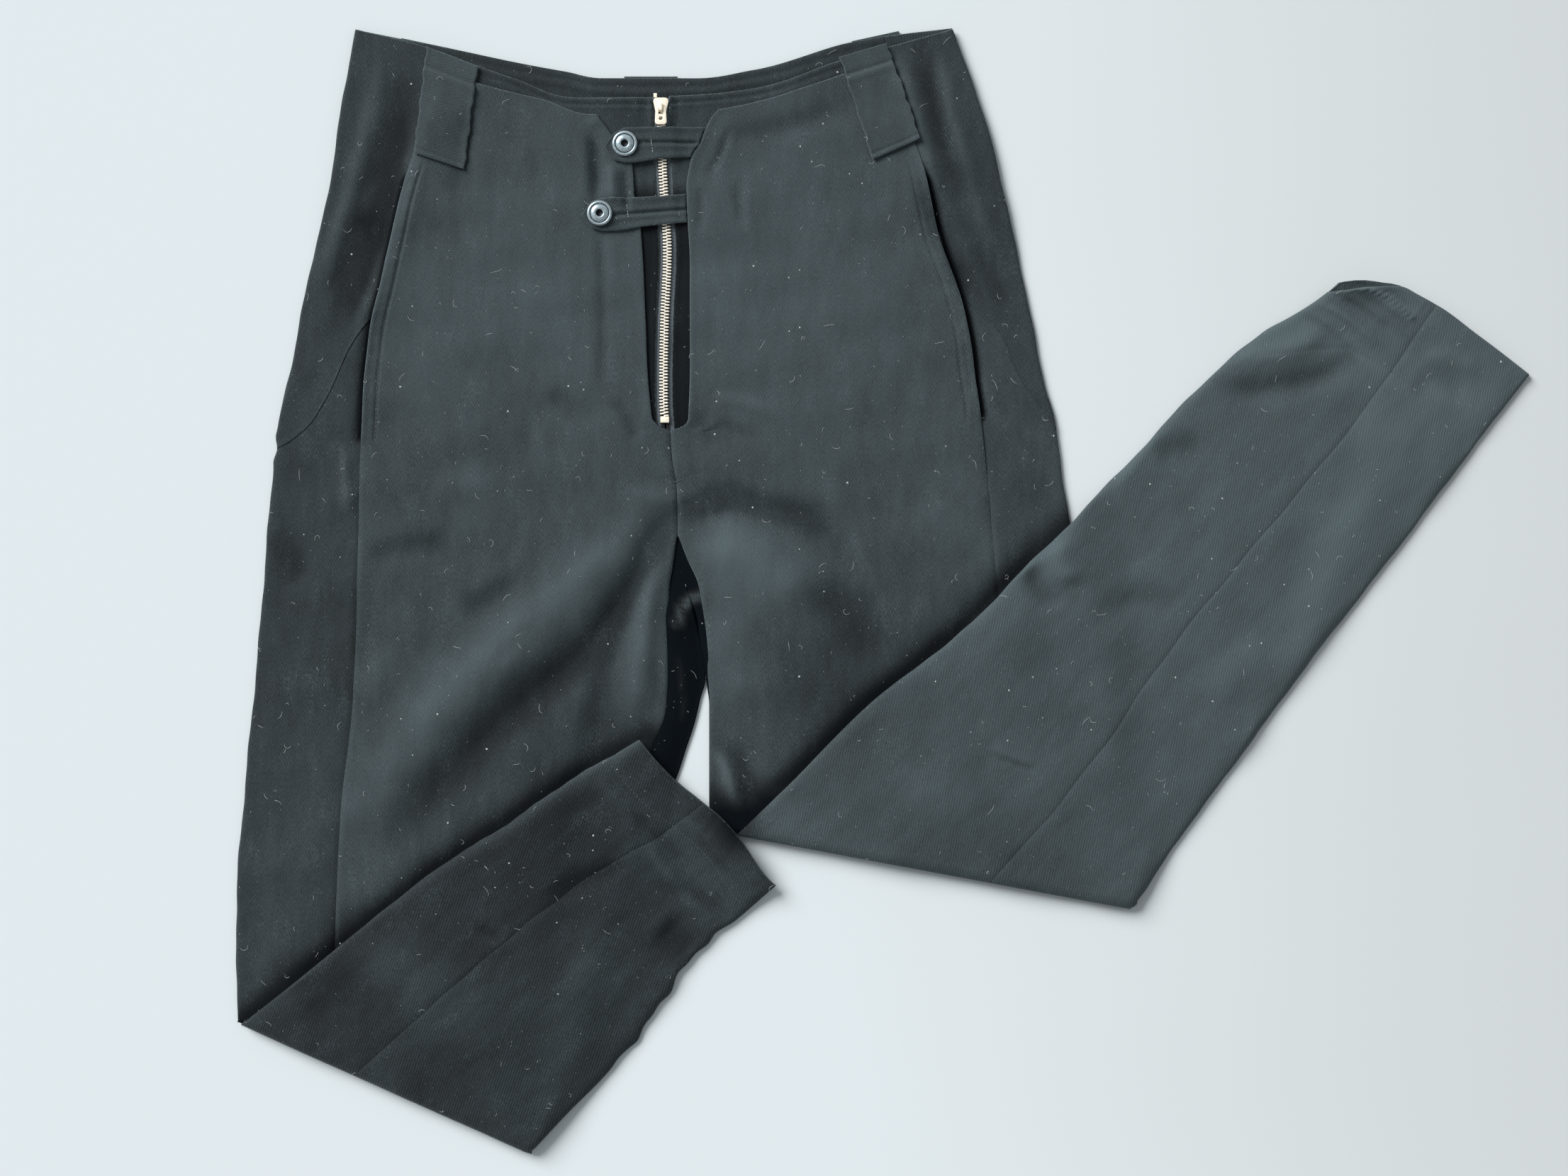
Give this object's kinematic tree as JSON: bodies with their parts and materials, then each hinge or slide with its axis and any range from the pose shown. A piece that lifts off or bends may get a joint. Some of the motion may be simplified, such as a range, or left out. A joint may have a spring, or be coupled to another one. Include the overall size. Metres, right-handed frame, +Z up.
{
  "type": "wool trousers",
  "caption": "High-waisted dark wool trousers laid flat face up with both lower legs folded up, with a metal zip fly, buttoned tabs and wide belt loops.",
  "frame": {"origin": "on the surface the trousers lie on, under the middle of their laid-out outline", "axes": "+X towards the wearer's left side, +Y up the garment towards the waist, +Z up from the surface"},
  "size_m": [0.8238, 0.717, 0.015],
  "materials": {
    "wool_twill": "matte dark charcoal wool twill",
    "zip_tape": "dark woven zip tape",
    "zip_brass": "polished brass",
    "button_metal": "silvery stepped metal"
  },
  "bodies": {
    "trousers": {"back_r": "wool_twill", "front_r": "wool_twill", "yoke_r": "wool_twill", "side_r": "wool_twill", "back_l": "wool_twill", "front_l": "wool_twill", "yoke_l": "wool_twill", "side_l": "wool_twill", "shin_front_r": "wool_twill", "shin_side_r": "wool_twill", "shin_back_r": "wool_twill", "shin_front_l": "wool_twill", "shin_side_l": "wool_twill", "shin_back_l": "wool_twill", "underlay_r": "wool_twill", "zip_tape_r": "zip_tape", "underlay_l": "wool_twill", "zip_tape_l": "zip_tape", "zip_chain": "zip_brass", "zip_slider": "zip_brass", "zip_stop_top": "zip_brass", "zip_stop_bottom": "zip_brass", "tab_upper": "wool_twill", "tab_lower": "wool_twill", "button_upper": "button_metal", "button_lower": "button_metal", "loop_front_r": "wool_twill", "loop_front_l": "wool_twill", "loop_back_r": "wool_twill", "loop_back_c": "wool_twill", "loop_back_l": "wool_twill"},
    "zip_pull": {"zip_pull": "zip_brass"}
  },
  "joints": [
    {"name": "pull_tab_hinge", "type": "hinge", "parent": "trousers", "child": "zip_pull", "pos_m": [-0.1411, 0.30668, 0.0109], "axis": [-1, 0, 0], "range_deg": [0, 140]}
  ]
}
